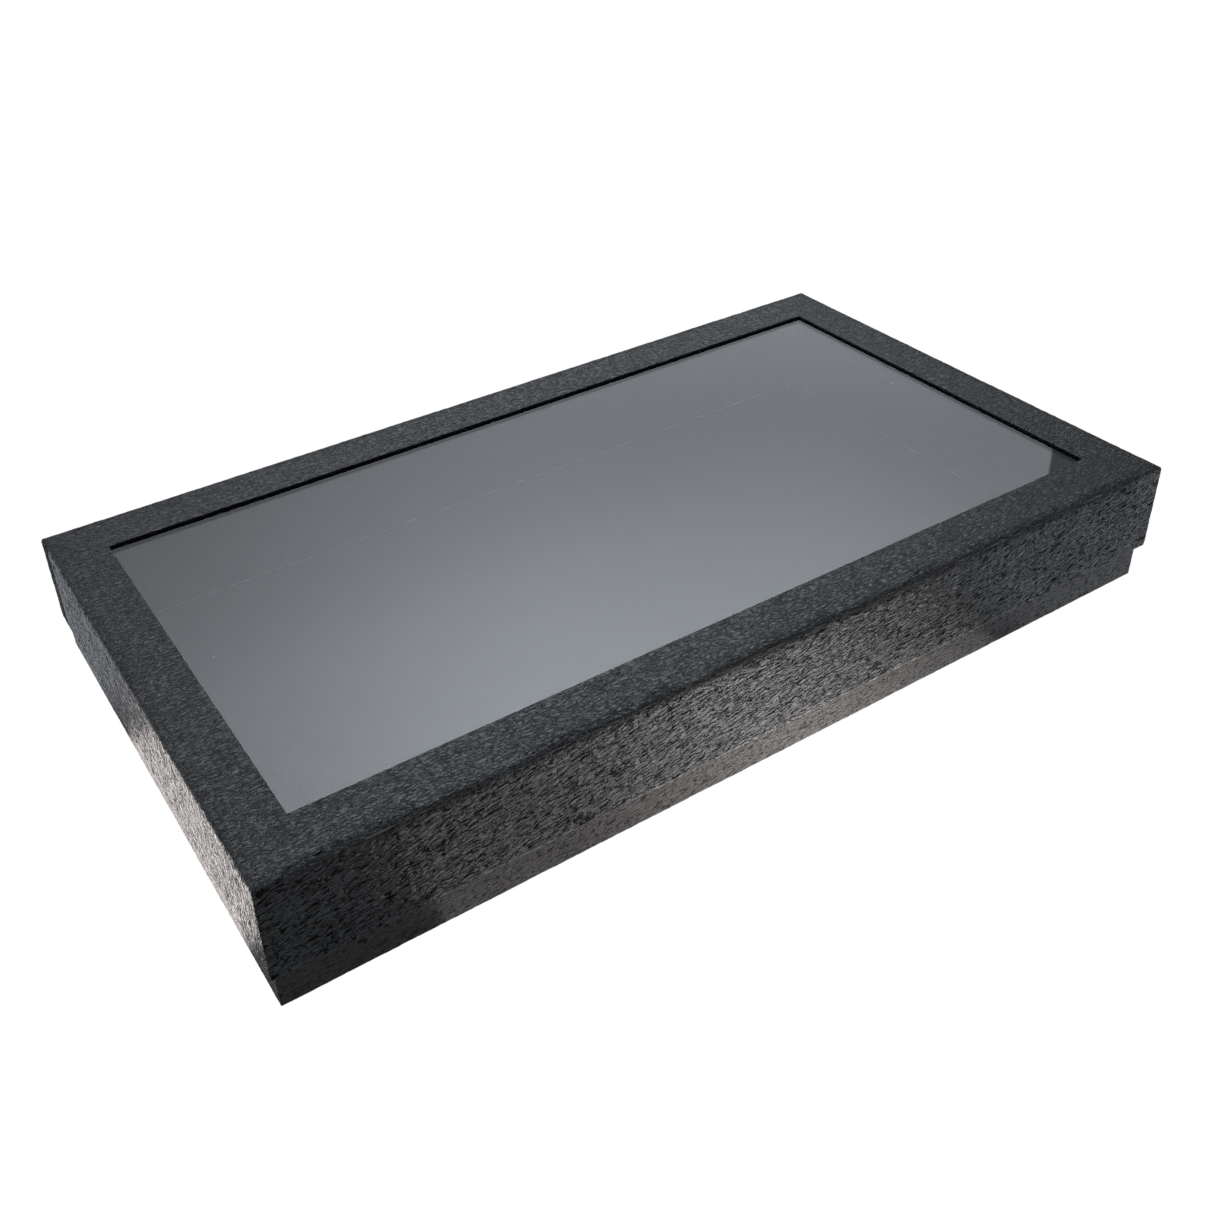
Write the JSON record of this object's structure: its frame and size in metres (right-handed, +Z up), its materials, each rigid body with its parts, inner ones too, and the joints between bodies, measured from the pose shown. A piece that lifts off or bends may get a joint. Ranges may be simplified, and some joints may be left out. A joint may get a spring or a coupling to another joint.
{
  "type": "shadow box",
  "caption": "Shallow black leatherette board case with a glazed lid that lifts off its lined base, for showing small collectibles.",
  "frame": {"origin": "centre of the lid's footprint, on the surface that the case stands on", "axes": "+X along the case to its right, +Y to its back, +Z up through the lid"},
  "size_m": [0.3746, 0.2096, 0.0508],
  "materials": {
    "leatherette": "black embossed leather-grain paper-backed covering, satin with small gloss highlights on the grain",
    "greyboard": "bare grey chipboard",
    "stay_tape": "brown gummed kraft tape",
    "bottom_paper": "matt black heavy paper",
    "liner_card": "black faced card with pale cut edges",
    "retainer_card": "folded black card",
    "pane_glass": "clear polished float glass"
  },
  "bodies": {
    "base": {"base_board": "greyboard", "base_wrap": "leatherette", "base_corner_stay_front_left": "stay_tape", "base_corner_stay_front_right": "stay_tape", "base_corner_stay_back_right": "stay_tape", "base_corner_stay_back_left": "stay_tape", "base_bottom_sheet": "bottom_paper", "floor_liner": "liner_card", "wall_liner_front": "liner_card", "wall_liner_back": "liner_card", "wall_liner_left": "liner_card", "wall_liner_right": "liner_card"},
    "lid": {"lid_board": "greyboard", "lid_wrap": "leatherette", "lid_corner_stay_front_left": "stay_tape", "lid_corner_stay_front_right": "stay_tape", "lid_corner_stay_back_right": "stay_tape", "lid_corner_stay_back_left": "stay_tape", "window_pane": "pane_glass", "pane_retainer_front": "retainer_card", "pane_retainer_back": "retainer_card", "pane_retainer_left": "retainer_card", "pane_retainer_right": "retainer_card"}
  },
  "joints": [
    {"name": "lid_lift", "type": "slide", "parent": "base", "child": "lid", "axis": [0, 0, 1], "range_m": [0, 0.12]}
  ]
}
